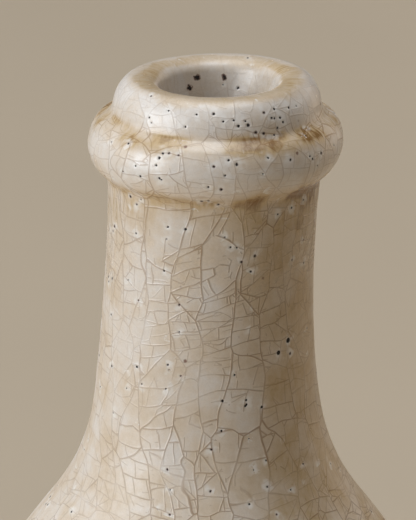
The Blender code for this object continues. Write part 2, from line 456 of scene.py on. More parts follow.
def handShape(section):
    # the same two wanders shape every section, so that their edges still meet
    bpy.ops.object.select_all(action="DESELECT")
    section.select_set(True)
    bpy.context.view_layer.objects.active = section
    for name, width, depth in (
        ("sway", handMade["swayWidth"], handMade["sway"]),
        ("dimple", handMade["dimpleWidth"], handMade["dimple"]),
    ):
        wander = bpy.data.textures.get(name) or bpy.data.textures.new(name, "CLOUDS")
        wander.cloud_type = "COLOR"
        wander.noise_scale = width
        wander.noise_depth = 1
        push = section.modifiers.new(name, "DISPLACE")
        push.texture = wander
        push.texture_coords = "LOCAL"
        push.direction = "RGB_TO_XYZ"
        push.mid_level = 0.5
        push.strength = depth
        bpy.ops.object.modifier_apply(modifier=name)
    bpy.ops.object.shade_smooth_by_angle(angle=handMade["smoothAngle"])


def hexColor(text):
    # sRGB hex to linear
    parts = [int(text[i:i + 2], 16) / 255 for i in (1, 3, 5)]
    return tuple(c / 12.92 if c <= 0.04045 else ((c + 0.055) / 1.055) ** 2.4 for c in parts) + (1.0,)


def addNode(tree, kind, links, **settings):
    # a node given as a link stands for the first output it is using
    node = tree.nodes.new("ShaderNode" + kind)
    for name, value in settings.items():
        setattr(node, name, value)
    for socket, value in links.items():
        if isinstance(value, bpy.types.Node):
            value = next(output for output in value.outputs if output.enabled)
        if isinstance(value, bpy.types.NodeSocket):
            tree.links.new(value, node.inputs[socket])
        else:
            node.inputs[socket].default_value = value
    return node


def newMaterial(name):
    material = bpy.data.materials.new(name)
    material.use_nodes = True
    material.node_tree.nodes.clear()
    return material, material.node_tree


mm = 1000                               # the finishes are laid out in millimetres
smooth = {"interpolation_type": "SMOOTHSTEP"}
shifted = {"noise_dimensions": "4D"}    # W tells one noise from another
middle = (0.5, 0.5, 0.5)

glaze = {
    "thick": "#E6E0DA",                 # milky where it lies thick
    "usual": "#DDCFBE",
    "thin": "#C7AE88",                  # iron of the clay shows through where it ran thin
    "pooled": "#8F6E45",                # brown where it gathers in the hollows
    "crack": "#8A6234",                 # tea-coloured stain in the crackle
    "halo": "#F3F0EC",
    "pit": "#1C120D",
    "iron": "#6A3A20",
    "patchSize": 8.0,                   # mm, where it ran thinner
    "blotchSize": 6.0,
    "fineSize": 1.3,
    "grainSize": 0.35,
    "mottle": 0.07,                     # how much the blotches change its thickness
    "freckle": 0.06,                    # the fine ones
    "tile": 0.05,                       # and the cells of the crackle
    "streakSize": 0.75,                 # mm across a run, on a ring of the next radius
    "streakRound": 21.0,                # mm
    "streakDown": 0.14,                 # the smaller, the longer the runs
    "streak": 0.24,                     # how much they change its thickness
    "roughness": 0.23,
    "satin": 0.16,                      # rougher by this at the shoulder than at the collar
    "ior": 1.57,
    "bendSize": 30.0,                   # mm, the slow curve of the long cracks
    "bend": 13.0,
    "warpSize": 10.0,                   # mm, and the small one of them all
    "warp": 3.2,
    "crackStain": 0.60,
    "stainPatch": 11.0,                 # mm
    "crackDepth": 0.075,                # mm, the glaze lips up along a crack
    "pitSpacing": 3.0,                  # mm between pinholes at their closest
    "pitCrowd": 9.0,                    # mm, size of the patches that have more of them
    "crumbSize": 0.5,                   # mm, ragged edges
    "crumb": 0.3,                       # and how far they stray
    "pitReach": 0.62,                   # mm from the surface that a pinhole still breaks it
    "pitSmall": 0.14,                   # mm radius
    "pitLarge": 0.27,
    "haloReach": 1.9,                   # mm of whiter glaze round a pinhole
    "haloStrength": 0.7,
    "haloCloud": 1.6,                   # mm
    "rustSpacing": 6.0,                 # mm between rust spots at their closest
    "ringInside": 13.8,                 # mm radius of the tan ring on top of the lip
    "ringOutside": 18.7,
    "ringThin": 0.50,
    "throatThin": 0.24,
    "tearSize": 0.9,                    # mm, torn edges of the spots in the throat
    "tear": 1.5,                        # and how far they stray
    "paintedShade": 0.32,                    # painted shade: how much more brown the glaze turns on the +X side of the neck, away from the key lamp
    "peelSize": 2.6,                    # mm, orange peel
    "peelDepth": 0.04,
    "dishDepth": 0.12,                  # mm, dip at a pinhole
}
clay = {
    "fired": "#AB8763",
    "toasted": "#8A6444",               # where the flame touched it
    "sand": "#C6A984",
    "speck": "#38241A",                 # iron in the clay
    "roughness": 0.86,
    "patchSize": 14.0,                  # mm
    "grain": 0.55,                      # mm, sand in the body
    "speckSpacing": 1.9,                # mm
    "speckSize": 0.26,
    "drag": 0.9,                        # mm between the lines the sponge left
    "relief": 0.06,                     # mm
}
# cell in mm; unevenness; share of the lines that opened; half width in mm; strength
crackLevels = (
    ((6.3, 6.3, 17.0), 0.66, 1.00, 0.150, 1.00),
    ((15.0, 15.0, 4.1), 0.56, 0.94, 0.130, 0.90),
    ((3.7, 3.7, 12.0), 0.62, 0.55, 0.115, 0.72),
    ((9.0, 9.0, 2.6), 0.60, 0.24, 0.105, 0.55),
)
# height in mm over the foot of the vase and how thin the glaze is there, 0 to 1
thinness = (
    (0.0, 0.62),
    (footHeight * mm + 9.0, 0.40),
    (bellyHeight * mm, 0.32),
    (neckFoot * mm, 0.30),
    (creaseHeight * mm - 12.0, 0.30),
    (creaseHeight * mm - 3.0, 0.42),
    (creaseHeight * mm + 0.2, 0.68),
    (creaseHeight * mm + 3.2, 0.30),
    (creaseHeight * mm + 7.0, 0.12),
    (grooveHeight * mm - 3.2, 0.30),
    (grooveHeight * mm - 1.6, 0.74),
    (grooveHeight * mm + 0.5, 0.72),
    (grooveHeight * mm + 1.8, 0.14),
    (vaseTop * mm - 1.5, 0.03),
    (vaseTop * mm, 0.12),
)
# crowds of flaws on the side that shows: degrees round from the front and mm below the top,
# each with how far they stray, how many there are and the largest one's radius in mm
flawSeed = 4
throatCrowds = (
    {"turn": -155, "sway": 7, "drop": 5, "spread": 1.5, "count": 3, "largest": 0.65},
    {"turn": 175, "sway": 3, "drop": 4, "spread": 0.5, "count": 1, "largest": 0.70},
)
pinholeCrowds = (
    {"turn": 0, "sway": 45, "drop": 4, "spread": 2, "count": 15, "largest": 0.32},      # lip
    {"turn": 30, "sway": 15, "drop": 6, "spread": 2, "count": 4, "largest": 0.36},
    {"turn": -30, "sway": 12, "drop": 14, "spread": 2, "count": 5, "largest": 0.30},    # collar
    {"turn": 10, "sway": 40, "drop": 14, "spread": 4, "count": 10, "largest": 0.34},
    {"turn": 5, "sway": 15, "drop": 21, "spread": 1, "count": 3, "largest": 0.30},      # under it
    {"turn": -10, "sway": 30, "drop": 32, "spread": 8, "count": 4, "largest": 0.34},    # neck
    {"turn": 45, "sway": 4, "drop": 56, "spread": 2, "count": 2, "largest": 0.60},
    {"turn": 15, "sway": 20, "drop": 65, "spread": 5, "count": 6, "largest": 0.34},
)


def onSurface(section, turn, drop, radius):
    # the place on a section nearest to a turn and a height
    angle = math.radians(turn)
    height = vaseTop - drop / mm
    guess = (
        leanAt(height) + radius * math.sin(angle),
        -radius * math.cos(angle),
        height,
    )
    found, place, normal, face = section.closest_point_on_mesh(guess)
    return place * mm


def outsideRadius(height):
    if height <= mouthRings[0][1]:
        return outerRadius(height)
    crest = max(range(len(mouthRings)), key=lambda i: mouthRings[i][1])
    return min(mouthRings[:crest + 1], key=lambda ring: abs(ring[1] - height))[0]


def scatterCrowds(crowds, draw):
    flaws = []
    for crowd in crowds:
        for _ in range(crowd["count"]):
            turn = crowd["turn"] + crowd["sway"] * draw.uniform(-1, 1)
            drop = crowd["drop"] + crowd["spread"] * draw.uniform(-1, 1)
            flaws.append((turn, drop, crowd["largest"] * draw.uniform(0.7, 1)))
    return flaws


def findFlaws(sections):
    draw = random.Random(flawSeed)
    spots = []
    for turn, drop, size in scatterCrowds(throatCrowds, draw):
        spots.append((onSurface(sections["lip_ring"], turn, drop, lip["mouthRadius"]), size))
    holes = []
    for turn, drop, size in scatterCrowds(pinholeCrowds, draw):
        height = vaseTop - drop / mm
        owner = "lip_ring" if height > grooveRing[1] else "collar_ring"
        if height < creaseRing[1]:
            owner = "neck"
        holes.append((onSurface(sections[owner], turn, drop, outsideRadius(height)), size))
    return spots, holes


def nearestFlaw(tree, point, flaws):
    # distance in mm to the edge of the nearest of some round flaws
    nearest = None
    for place, size in flaws:
        away = addNode(tree, "VectorMath", {0: point, 1: tuple(place)}, operation="DISTANCE")
        edge = addNode(tree, "Math", {0: away, 1: size}, operation="SUBTRACT")
        if nearest:
            edge = addNode(tree, "Math", {0: nearest, 1: edge}, operation="MINIMUM")
        nearest = edge
    return nearest


def crackLevel(tree, point, normal, cell, uneven, parent):
    # distance in mm along the surface to the nearest border between two cells
    inverse = tuple(1 / c for c in cell)
    place = addNode(tree, "VectorMath", {0: point, 1: inverse}, operation="MULTIPLY")
    if parent:
        # each cell of the level above is cracked on its own
        own = addNode(tree, "VectorMath", {0: parent, "Scale": 37.0}, operation="SCALE")
        place = addNode(tree, "VectorMath", {0: place, 1: own}, operation="ADD")
    first = addNode(tree, "TexVoronoi", {
        "Vector": place, "Scale": 1.0, "Randomness": uneven}, feature="F1")
    second = addNode(tree, "TexVoronoi", {
        "Vector": place, "Scale": 1.0, "Randomness": uneven}, feature="F2")
    squares = []
    for end in (first, second):
        offset = addNode(tree, "VectorMath", {0: place, 1: end.outputs["Position"]}, operation="SUBTRACT")
        squares.append(addNode(tree, "VectorMath", {0: offset, 1: offset}, operation="DOT_PRODUCT"))
    between = addNode(tree, "VectorMath", {
        0: second.outputs["Position"], 1: first.outputs["Position"]}, operation="SUBTRACT")
    apart = addNode(tree, "VectorMath", {0: between}, operation="LENGTH")
    facing = addNode(tree, "VectorMath", {0: between}, operation="NORMALIZE")
    gradient = addNode(tree, "VectorMath", {0: facing, 1: inverse}, operation="MULTIPLY")
    # only the part of the gradient that runs along the surface counts
    onNormal = addNode(tree, "VectorMath", {0: gradient, 1: normal}, operation="DOT_PRODUCT")
    sunk = addNode(tree, "VectorMath", {0: normal, "Scale": onNormal}, operation="SCALE")
    along = addNode(tree, "VectorMath", {0: gradient, 1: sunk}, operation="SUBTRACT")
    slope = addNode(tree, "VectorMath", {0: along}, operation="LENGTH")
    steepest = addNode(tree, "Math", {0: slope, 1: 0.3 * min(inverse)}, operation="MAXIMUM")
    difference = addNode(tree, "Math", {0: squares[1], 1: squares[0]}, operation="SUBTRACT")
    spread = addNode(tree, "Math", {0: apart, 1: steepest}, operation="MULTIPLY")
    halved = addNode(tree, "Math", {0: difference, 1: spread}, operation="DIVIDE")
    distance = addNode(tree, "Math", {0: halved, 1: 0.5}, operation="MULTIPLY")
    pair = addNode(tree, "VectorMath", {
        0: first.outputs["Color"], 1: second.outputs["Color"]}, operation="ADD")
    chance = addNode(tree, "TexWhiteNoise", {"Vector": pair})
    return distance, chance, first.outputs["Color"]


def crackleNet(tree, point, normal):
    # cracks between the cells of four levels, bent a little: line, ridge, draw of the cell
    slow = addNode(tree, "TexNoise", {
        "Vector": point, "W": 3.5, "Scale": 1 / glaze["bendSize"], "Detail": 0.0}, **shifted)
    slowOff = addNode(tree, "VectorMath", {0: slow.outputs["Color"], 1: middle}, operation="SUBTRACT")
    curved = addNode(tree, "VectorMath", {
        0: slowOff, 1: (glaze["bend"],) * 3, 2: point}, operation="MULTIPLY_ADD")
    quick = addNode(tree, "TexNoise", {
        "Vector": point, "W": 3.0, "Scale": 1 / glaze["warpSize"], "Detail": 1.5}, **shifted)
    quickOff = addNode(tree, "VectorMath", {0: quick.outputs["Color"], 1: middle}, operation="SUBTRACT")
    swayed = addNode(tree, "VectorMath", {
        0: quickOff, 1: (glaze["warp"],) * 3, 2: curved}, operation="MULTIPLY_ADD")
    lines, ridges, parent, cellDraw = None, None, None, None
    for cell, uneven, share, halfWidth, strength in crackLevels:
        distance, chance, parent = crackLevel(tree, swayed, normal, cell, uneven, parent)
        cellDraw = cellDraw or parent
        opened = addNode(tree, "Math", {0: chance, 1: share}, operation="LESS_THAN")
        weight = addNode(tree, "Math", {0: opened, 1: strength}, operation="MULTIPLY")
        core = addNode(tree, "MapRange", {
            0: distance, 1: halfWidth * 0.4, 2: halfWidth * 1.3, 3: 1.0, 4: 0.0}, **smooth)
        lipUp = addNode(tree, "MapRange", {0: distance, 1: 0.0, 2: halfWidth * 2.4, 3: 1.0, 4: 0.0}, **smooth)
        line = addNode(tree, "Math", {0: core, 1: weight}, operation="MULTIPLY")
        ridge = addNode(tree, "Math", {0: lipUp, 1: weight}, operation="MULTIPLY")
        if lines:
            line = addNode(tree, "Math", {0: lines, 1: line}, operation="MAXIMUM")
            ridge = addNode(tree, "Math", {0: ridges, 1: ridge}, operation="MAXIMUM")
        lines, ridges = line, ridge
    return lines, ridges, cellDraw


def pinholeField(tree, point, ragged, normal, height, holes):
    # near points of a 3D scatter dropped straight on to the surface, and the placed ones
    spacing = glaze["pitSpacing"]
    scattered = addNode(tree, "VectorMath", {0: point, "Scale": 1 / spacing}, operation="SCALE")
    gas = addNode(tree, "TexVoronoi", {
        "Vector": scattered, "Scale": 1.0, "Randomness": 1.0}, feature="F1")
    center = addNode(tree, "VectorMath", {0: gas.outputs["Position"], "Scale": spacing}, operation="SCALE")
    away = addNode(tree, "VectorMath", {0: ragged, 1: center}, operation="SUBTRACT")
    depth = addNode(tree, "VectorMath", {0: away, 1: normal}, operation="DOT_PRODUCT")
    sunk = addNode(tree, "VectorMath", {0: normal, "Scale": depth}, operation="SCALE")
    flat = addNode(tree, "VectorMath", {0: away, 1: sunk}, operation="SUBTRACT")
    fromCenter = addNode(tree, "VectorMath", {0: flat}, operation="LENGTH")
    deep = addNode(tree, "Math", {0: depth}, operation="ABSOLUTE")
    near = addNode(tree, "Math", {0: deep, 1: glaze["pitReach"]}, operation="LESS_THAN")
    draw = addNode(tree, "SeparateColor", {0: gas.outputs["Color"]})
    crowds = addNode(tree, "TexNoise", {
        "Vector": point, "W": 1.0, "Scale": 1 / glaze["pitCrowd"], "Detail": 1.0}, **shifted)
    crowded = addNode(tree, "MapRange", {0: crowds, 1: 0.44, 2: 0.62, 3: 0.06, 4: 0.60}, **smooth)
    isOpen = addNode(tree, "Math", {0: draw.outputs[0], 1: crowded}, operation="LESS_THAN")
    there = addNode(tree, "Math", {0: isOpen, 1: near}, operation="MULTIPLY")
    size = addNode(tree, "MapRange", {
        0: draw.outputs[1], 1: 0.0, 2: 1.0, 3: glaze["pitSmall"], 4: glaze["pitLarge"]}, **smooth)
    edge = addNode(tree, "Math", {0: fromCenter, 1: size}, operation="SUBTRACT")
    gone = addNode(tree, "MapRange", {0: there, 1: 0.0, 2: 1.0, 3: 10.0, 4: 0.0})
    edge = addNode(tree, "Math", {0: edge, 1: gone}, operation="ADD")
    return addNode(tree, "Math", {0: edge, 1: nearestFlaw(tree, ragged, holes)}, operation="MINIMUM")


def thinnessAndPaintedShade(tree, point, height, blotch, fine, cellDraw):
    # 0 where the glaze lies thick, 1 where it ran off or pooled brown, with painted shade added on the +X
    # side of the neck; and how far inside
    share = addNode(tree, "Math", {0: height, 1: vaseTop * mm}, operation="DIVIDE")
    bands = addNode(tree, "ValToRGB", {0: share})
    bands.color_ramp.interpolation = "EASE"
    for i, (level, value) in enumerate(thinness):
        at = level / (vaseTop * mm)
        stop = bands.color_ramp.elements[i] if i < 2 else bands.color_ramp.elements.new(at)
        stop.position = at
        stop.color = (value, value, value, 1)
    patches = addNode(tree, "TexNoise", {
        "Vector": point, "W": 11.0, "Scale": 1 / glaze["patchSize"], "Detail": 2.0}, **shifted)
    patchy = addNode(tree, "MapRange", {0: patches, 1: 0.36, 2: 0.62, 3: 0.50, 4: 1.22}, **smooth)
    banded = addNode(tree, "Math", {0: bands, 1: patchy}, operation="MULTIPLY")

    # everything about the mouth is laid out round the leaning axis
    axis = (-leanAt(vaseTop) * mm, 0, 0)
    across = addNode(tree, "VectorMath", {0: point, 1: axis}, operation="ADD")
    level = addNode(tree, "VectorMath", {0: across, 1: (1, 1, 0)}, operation="MULTIPLY")
    radius = addNode(tree, "VectorMath", {0: level}, operation="LENGTH")
    spoke = addNode(tree, "VectorMath", {0: level}, operation="NORMALIZE")
    turn = addNode(tree, "SeparateXYZ", {0: spoke})
    # painted shade: the glaze turns more brown towards +X, the side away from the key lamp, most on the neck
    # and at the crease under the collar, less down to the belly
    paintedShadeSide = addNode(tree, "MapRange", {
        0: turn.outputs["X"], 1: -0.1, 2: 0.7, 3: 0.0, 4: glaze["paintedShade"]}, **smooth)
    shade = addNode(tree, "MapRange", {
        0: height, 1: creaseHeight * mm + 1.0, 2: creaseHeight * mm + 3.5, 3: 1.0, 4: 0.15}, **smooth)
    lower = addNode(tree, "MapRange", {
        0: height, 1: bellyHeight * mm, 2: neckFoot * mm, 3: 0.3, 4: 1.0}, **smooth)
    shade = addNode(tree, "Math", {0: shade, 1: lower}, operation="MULTIPLY")
    paintedShadeTone = addNode(tree, "Math", {0: paintedShadeSide, 1: shade}, operation="MULTIPLY")
    outer = addNode(tree, "Math", {0: banded, 1: paintedShadeTone}, operation="ADD")

    # inside the mouth
    beyond = addNode(tree, "MapRange", {0: radius, 1: 19.0, 2: 20.5, 3: 1.0, 4: 0.0}, **smooth)
    above = addNode(tree, "MapRange", {
        0: height, 1: neckFoot * mm, 2: neckFoot * mm + 2.0, 3: 0.0, 4: 1.0}, **smooth)
    inner = addNode(tree, "Math", {0: beyond, 1: above}, operation="MULTIPLY")
    shell = addNode(tree, "Mix", {0: inner, 2: outer, 3: glaze["throatThin"]})

    # the tan ring on top of the lip, ragged outside and wider to the front
    ragged = addNode(tree, "MapRange", {0: blotch, 1: 0.25, 2: 0.75, 3: -1.3, 4: 1.3}, **smooth)
    raggedIn = addNode(tree, "Math", {0: ragged, 1: 0.35}, operation="MULTIPLY")
    front = addNode(tree, "Math", {0: turn.outputs["Y"], 1: 1.4, 2: ragged}, operation="MULTIPLY_ADD")
    fromIn = addNode(tree, "Math", {0: radius, 1: raggedIn}, operation="ADD")
    fromOut = addNode(tree, "Math", {0: radius, 1: front}, operation="ADD")
    begins = addNode(tree, "MapRange", {
        0: fromIn, 1: glaze["ringInside"] - 0.8, 2: glaze["ringInside"] + 0.7, 3: 0.0, 4: 1.0}, **smooth)
    ends = addNode(tree, "MapRange", {
        0: fromOut, 1: glaze["ringOutside"] - 1.2, 2: glaze["ringOutside"] + 1.2, 3: 1.0, 4: 0.0}, **smooth)
    high = addNode(tree, "MapRange", {
        0: height, 1: vaseTop * mm - 4.5, 2: vaseTop * mm - 3.0, 3: 0.0, 4: glaze["ringThin"]}, **smooth)
    ring = addNode(tree, "Math", {0: begins, 1: ends}, operation="MULTIPLY")
    ring = addNode(tree, "Math", {0: ring, 1: high}, operation="MULTIPLY")
    thin = addNode(tree, "Math", {0: shell, 1: ring}, operation="MAXIMUM")

    # runs point down the wall and out from the mouth, and show most at its two sides
    drop = addNode(tree, "Math", {0: height, 1: radius}, operation="SUBTRACT")
    slide = addNode(tree, "Math", {0: drop, 1: glaze["streakDown"]}, operation="MULTIPLY")
    downward = addNode(tree, "CombineXYZ", {2: slide})
    wide = addNode(tree, "VectorMath", {0: spoke, "Scale": glaze["streakRound"]}, operation="SCALE")
    flow = addNode(tree, "VectorMath", {0: wide, 1: downward}, operation="ADD")
    streaks = addNode(tree, "TexNoise", {
        "Vector": flow, "W": 9.0, "Scale": 1 / glaze["streakSize"], "Detail": 3.0}, **shifted)
    streaky = addNode(tree, "MapRange", {
        0: streaks, 1: 0.3, 2: 0.7, 3: -glaze["streak"], 4: glaze["streak"]}, **smooth)
    sides = addNode(tree, "Math", {0: turn.outputs["X"]}, operation="ABSOLUTE")
    heavy = addNode(tree, "MapRange", {0: sides, 1: 0.55, 2: 0.92, 3: 0.22, 4: 1.0}, **smooth)
    upper = addNode(tree, "MapRange", {
        0: height, 1: creaseHeight * mm - 12.0, 2: creaseHeight * mm - 2.0, 3: 0.35, 4: 1.0}, **smooth)
    heavy = addNode(tree, "Math", {0: heavy, 1: upper}, operation="MULTIPLY")
    runs = addNode(tree, "Math", {0: thin, 1: heavy}, operation="MULTIPLY")
    runs = addNode(tree, "Math", {0: runs, 1: patchy}, operation="MULTIPLY")
    runs = addNode(tree, "Math", {0: runs, 1: 0.04}, operation="ADD")
    streaked = addNode(tree, "Math", {0: streaky, 1: runs, 2: thin}, operation="MULTIPLY_ADD")
    # the ring itself is browner at its sides
    sideTan = addNode(tree, "MapRange", {0: sides, 1: 0.6, 2: 0.95, 3: 0.0, 4: 0.26}, **smooth)
    sideTan = addNode(tree, "Math", {0: sideTan, 1: patchy}, operation="MULTIPLY")
    streaked = addNode(tree, "Math", {0: ring, 1: sideTan, 2: streaked}, operation="MULTIPLY_ADD")

    mottle = addNode(tree, "MapRange", {
        0: blotch, 1: 0.25, 2: 0.75, 3: -glaze["mottle"], 4: glaze["mottle"]}, **smooth)
    freckle = addNode(tree, "MapRange", {
        0: fine, 1: 0.25, 2: 0.75, 3: -glaze["freckle"], 4: glaze["freckle"]}, **smooth)
    draw = addNode(tree, "SeparateColor", {0: cellDraw})
    tile = addNode(tree, "MapRange", {
        0: draw.outputs[0], 1: 0.0, 2: 1.0, 3: -glaze["tile"], 4: glaze["tile"]}, **smooth)
    for part in (mottle, freckle, tile):
        streaked = addNode(tree, "Math", {0: streaked, 1: part}, operation="ADD")
    return streaked, inner


def clayBody(tree, point):
    # Unglazed stoneware, wiped with a wet sponge and fired: sandy and dry, toasted in
    # patches, peppered with iron. Gives its color, roughness and relief in mm.
    patches = addNode(tree, "TexNoise", {
        "Vector": point, "W": 21.0, "Scale": 1 / clay["patchSize"], "Detail": 3.0}, **shifted)
    toast = addNode(tree, "MapRange", {0: patches, 1: 0.38, 2: 0.62, 3: 0.0, 4: 1.0}, **smooth)
    baked = addNode(tree, "Mix", {
        0: toast, 6: hexColor(clay["fired"]), 7: hexColor(clay["toasted"])}, data_type="RGBA")
    grains = addNode(tree, "TexVoronoi", {"Vector": point, "Scale": 1 / clay["grain"]}, feature="F1")
    grainDraw = addNode(tree, "SeparateColor", {0: grains.outputs["Color"]})
    sandy = addNode(tree, "MapRange", {0: grainDraw.outputs[0], 1: 0.55, 2: 0.95, 3: 0.0, 4: 0.6}, **smooth)
    baked = addNode(tree, "Mix", {0: sandy, 6: baked, 7: hexColor(clay["sand"])}, data_type="RGBA")
    specks = addNode(tree, "TexVoronoi", {"Vector": point, "Scale": 1 / clay["speckSpacing"]}, feature="F1")
    speckMm = addNode(tree, "Math", {
        0: specks.outputs["Distance"], 1: clay["speckSpacing"]}, operation="MULTIPLY")
    speck = addNode(tree, "MapRange", {
        0: speckMm, 1: clay["speckSize"] * 0.6, 2: clay["speckSize"] * 1.3, 3: 0.9, 4: 0.0}, **smooth)
    baked = addNode(tree, "Mix", {0: speck, 6: baked, 7: hexColor(clay["speck"])}, data_type="RGBA")
    stretch = addNode(tree, "VectorMath", {0: point, 1: (0.05, 0.05, 1.0)}, operation="MULTIPLY")
    lines = addNode(tree, "TexNoise", {
        "Vector": stretch, "W": 22.0, "Scale": 1 / clay["drag"], "Detail": 2.0}, **shifted)
    dry = addNode(tree, "MapRange", {
        0: lines, 1: 0.2, 2: 0.8, 3: clay["roughness"] - 0.07, 4: clay["roughness"] + 0.07}, **smooth)
    grit = addNode(tree, "MapRange", {
        0: grains.outputs["Distance"], 1: 0.0, 2: 0.7, 3: clay["relief"], 4: 0.0}, **smooth)
    relief = addNode(tree, "Math", {0: lines, 1: clay["relief"], 2: grit}, operation="MULTIPLY_ADD")
    return baked, dry, relief


def crackleGlaze(spots, holes):
    # Milky feldspar glaze fired on stoneware, crazed as it cooled: glossy, cream to white,
    # with tea-coloured stain in its cracks, pinholes where gas broke out, and tan where it ran thin; painted
    # shade turns the +X side more brown, away from the key lamp, and painted light fades the crack stain on
    # the -X side.
    # It was wiped off above the foot, so bare clay shows there.
    material, tree = newMaterial("crackleGlaze")
    coords = addNode(tree, "TexCoord", {})
    normal = coords.outputs["Normal"]
    point = addNode(tree, "VectorMath", {0: coords.outputs["Object"], "Scale": mm}, operation="SCALE")
    parts = addNode(tree, "SeparateXYZ", {0: point})
    height = parts.outputs["Z"]
    large = addNode(tree, "TexNoise", {
        "Vector": point, "W": 2.0, "Scale": 1 / glaze["blotchSize"], "Detail": 3.0}, **shifted)
    small = addNode(tree, "TexNoise", {
        "Vector": point, "W": 4.0, "Scale": 1 / glaze["fineSize"], "Detail": 3.0}, **shifted)
    blotch, fine = large.outputs[0], small.outputs[0]
    crumbs = addNode(tree, "TexNoise", {
        "Vector": point, "W": 5.0, "Scale": 1 / glaze["crumbSize"], "Detail": 1.0}, **shifted)
    crumbsOff = addNode(tree, "VectorMath", {0: crumbs.outputs["Color"], 1: middle}, operation="SUBTRACT")
    ragged = addNode(tree, "VectorMath", {
        0: crumbsOff, 1: (glaze["crumb"],) * 3, 2: point}, operation="MULTIPLY_ADD")

    lines, ridges, cellDraw = crackleNet(tree, point, normal)
    shown, inner = thinnessAndPaintedShade(tree, point, height, blotch, fine, cellDraw)
    fromEdge = pinholeField(tree, point, ragged, normal, height, holes)
    pit = addNode(tree, "MapRange", {0: fromEdge, 1: -0.08, 2: 0.06, 3: 1.0, 4: 0.0}, **smooth)

    # the stain is stronger in some patches, fainter on the milky lip and in the mouth, and fainter as painted
    # light on the -X side that the key lamp lights
    patches = addNode(tree, "TexNoise", {
        "Vector": point, "W": 7.0, "Scale": 1 / glaze["stainPatch"], "Detail": 1.0}, **shifted)
    fade = addNode(tree, "MapRange", {0: patches, 1: 0.36, 2: 0.58, 3: 0.45, 4: 1.0}, **smooth)
    # painted light: the crack stain fades to 0.6 towards -X, where the key lamp falls
    paintedLightFade = addNode(tree, "MapRange", {0: parts.outputs["X"], 1: -24.0, 2: 6.0, 3: 0.6, 4: 1.0}, **smooth)
    milky = addNode(tree, "MapRange", {
        0: height, 1: grooveHeight * mm + 0.5, 2: grooveHeight * mm + 3.0, 3: 1.0, 4: 0.4}, **smooth)
    shallow = addNode(tree, "MapRange", {0: inner, 1: 0.0, 2: 1.0, 3: glaze["crackStain"], 4: 0.18})
    stain = lines
    for part in (fade, paintedLightFade, milky, shallow):
        stain = addNode(tree, "Math", {0: stain, 1: part}, operation="MULTIPLY")
    fromGroove = addNode(tree, "Math", {0: height, 1: grooveHeight * mm}, operation="SUBTRACT")
    fromGroove = addNode(tree, "Math", {0: fromGroove}, operation="ABSOLUTE")
    filled = addNode(tree, "MapRange", {0: fromGroove, 1: 1.2, 2: 3.0, 3: 0.25, 4: 1.0}, **smooth)
    raised = addNode(tree, "Math", {0: ridges, 1: fade}, operation="MULTIPLY")
    raised = addNode(tree, "Math", {0: raised, 1: filled}, operation="MULTIPLY")
    rolls = addNode(tree, "MapRange", {
        0: height, 1: creaseHeight * mm, 2: creaseHeight * mm + 3.0, 3: 1.0, 4: 0.6}, **smooth)
    raised = addNode(tree, "Math", {0: raised, 1: rolls}, operation="MULTIPLY")
    outward = addNode(tree, "MapRange", {0: inner, 1: 0.0, 2: 1.0, 3: 1.0, 4: 0.35})
    raised = addNode(tree, "Math", {0: raised, 1: outward}, operation="MULTIPLY")

    # color, from the glaze outward
    tint = addNode(tree, "ValToRGB", {0: shown})
    shades = ((0.0, "thick"), (0.30, "usual"), (0.75, "thin"), (1.0, "pooled"))
    for i, (at, shade) in enumerate(shades):
        stop = tint.color_ramp.elements[i] if i < 2 else tint.color_ramp.elements.new(at)
        stop.position = at
        stop.color = hexColor(glaze[shade])
    grain = addNode(tree, "TexNoise", {
        "Vector": point, "W": 6.0, "Scale": 1 / glaze["grainSize"], "Detail": 2.0}, **shifted)
    value = addNode(tree, "MapRange", {0: grain, 1: 0.2, 2: 0.8, 3: 0.96, 4: 1.04}, **smooth)
    color = addNode(tree, "HueSaturation", {"Color": tint, "Value": value})
    clouds = addNode(tree, "TexNoise", {
        "Vector": point, "W": 13.0, "Scale": 1 / glaze["haloCloud"], "Detail": 1.0}, **shifted)
    cloudy = addNode(tree, "MapRange", {0: clouds, 1: 0.3, 2: 0.7, 3: -0.7, 4: 0.9}, **smooth)
    haloEdge = addNode(tree, "Math", {0: fromEdge, 1: cloudy}, operation="ADD")
    halo = addNode(tree, "MapRange", {
        0: haloEdge, 1: -0.5, 2: glaze["haloReach"], 3: glaze["haloStrength"], 4: 0.0}, **smooth)
    color = addNode(tree, "Mix", {0: halo, 6: color, 7: hexColor(glaze["halo"])}, data_type="RGBA")
    color = addNode(tree, "Mix", {0: stain, 6: color, 7: hexColor(glaze["crack"])}, data_type="RGBA")
    rust = addNode(tree, "TexVoronoi", {
        "Vector": ragged, "Scale": 1 / glaze["rustSpacing"], "Randomness": 1.0}, feature="F1")
    rustDraw = addNode(tree, "SeparateColor", {0: rust.outputs["Color"]})
    rustOpen = addNode(tree, "Math", {0: rustDraw.outputs[0], 1: 0.4}, operation="LESS_THAN")
    rustMm = addNode(tree, "Math", {
        0: rust.outputs["Distance"], 1: glaze["rustSpacing"]}, operation="MULTIPLY")
    rusty = addNode(tree, "MapRange", {0: rustMm, 1: 0.2, 2: 0.6, 3: 0.8, 4: 0.0}, **smooth)
    rusty = addNode(tree, "Math", {0: rusty, 1: rustOpen}, operation="MULTIPLY")
    rim = addNode(tree, "MapRange", {0: fromEdge, 1: 0.0, 2: 0.25, 3: 0.7, 4: 0.0}, **smooth)
    rimHere = addNode(tree, "MapRange", {0: blotch, 1: 0.48, 2: 0.62, 3: 0.0, 4: 1.0}, **smooth)
    rim = addNode(tree, "Math", {0: rim, 1: rimHere}, operation="MULTIPLY")
    tears = addNode(tree, "TexNoise", {
        "Vector": point, "W": 14.0, "Scale": 1 / glaze["tearSize"], "Detail": 2.0}, **shifted)
    tearsOff = addNode(tree, "VectorMath", {0: tears.outputs["Color"], 1: middle}, operation="SUBTRACT")
